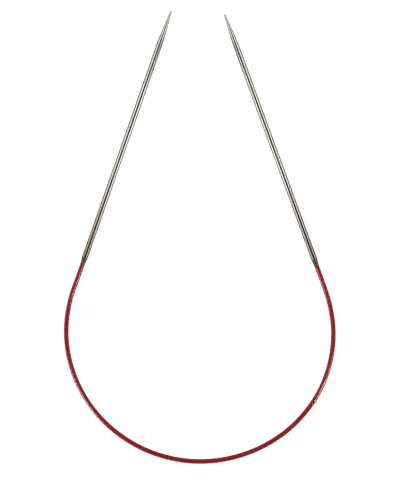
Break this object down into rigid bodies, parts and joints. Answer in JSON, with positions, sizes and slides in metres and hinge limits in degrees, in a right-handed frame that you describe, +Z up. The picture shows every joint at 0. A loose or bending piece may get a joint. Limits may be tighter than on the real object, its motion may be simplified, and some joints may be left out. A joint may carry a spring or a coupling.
{
  "type": "circular knitting needle",
  "caption": "Fixed circular knitting needle: polished steel tips with tapered points, dark join cones and a springy red nylon-coated steel cable, laid flat in a loop.",
  "frame": {"origin": "on the surface that the needle lies on, at the centre of the two needle tips' outline, the cable left out", "axes": "+Z up from that surface, +Y from the joins towards the points, +X from the left tip to the right tip; the cable's loop lies towards -Y"},
  "size_m": [0.1004, 0.1671, 0.0022],
  "materials": {
    "needle_steel": "polished stainless steel",
    "join_metal": "satin dark grey",
    "crimp_steel": "plain",
    "cable_nylon": "glossy, slightly translucent red",
    "strand_steel": "drawn wire"
  },
  "bodies": {
    "left_tip_and_cable": {"left_needle_tip": "needle_steel", "left_join_cone": "join_metal", "left_core_crimp": "crimp_steel", "cable_jacket": "cable_nylon", "cable_strand_1": "strand_steel", "cable_strand_2": "strand_steel", "cable_strand_3": "strand_steel", "cable_strand_4": "strand_steel", "cable_strand_5": "strand_steel", "cable_strand_6": "strand_steel", "cable_centre_strand": "strand_steel"},
    "right_tip": {"right_needle_tip": "needle_steel", "right_join_cone": "join_metal", "right_core_crimp": "crimp_steel"}
  },
  "joints": [
    {"name": "cable_flex", "type": "hinge", "parent": "left_tip_and_cable", "child": "right_tip", "pos_m": [0, -0.1185, 0.0009], "axis": [0, 0, -1], "range_deg": [-6, 20], "stiffness_Nm_per_rad": 0.003, "deforming": ["cable_jacket", "cable_strand_1", "cable_strand_2", "cable_strand_3", "cable_strand_4", "cable_strand_5", "cable_strand_6", "cable_centre_strand"]}
  ]
}
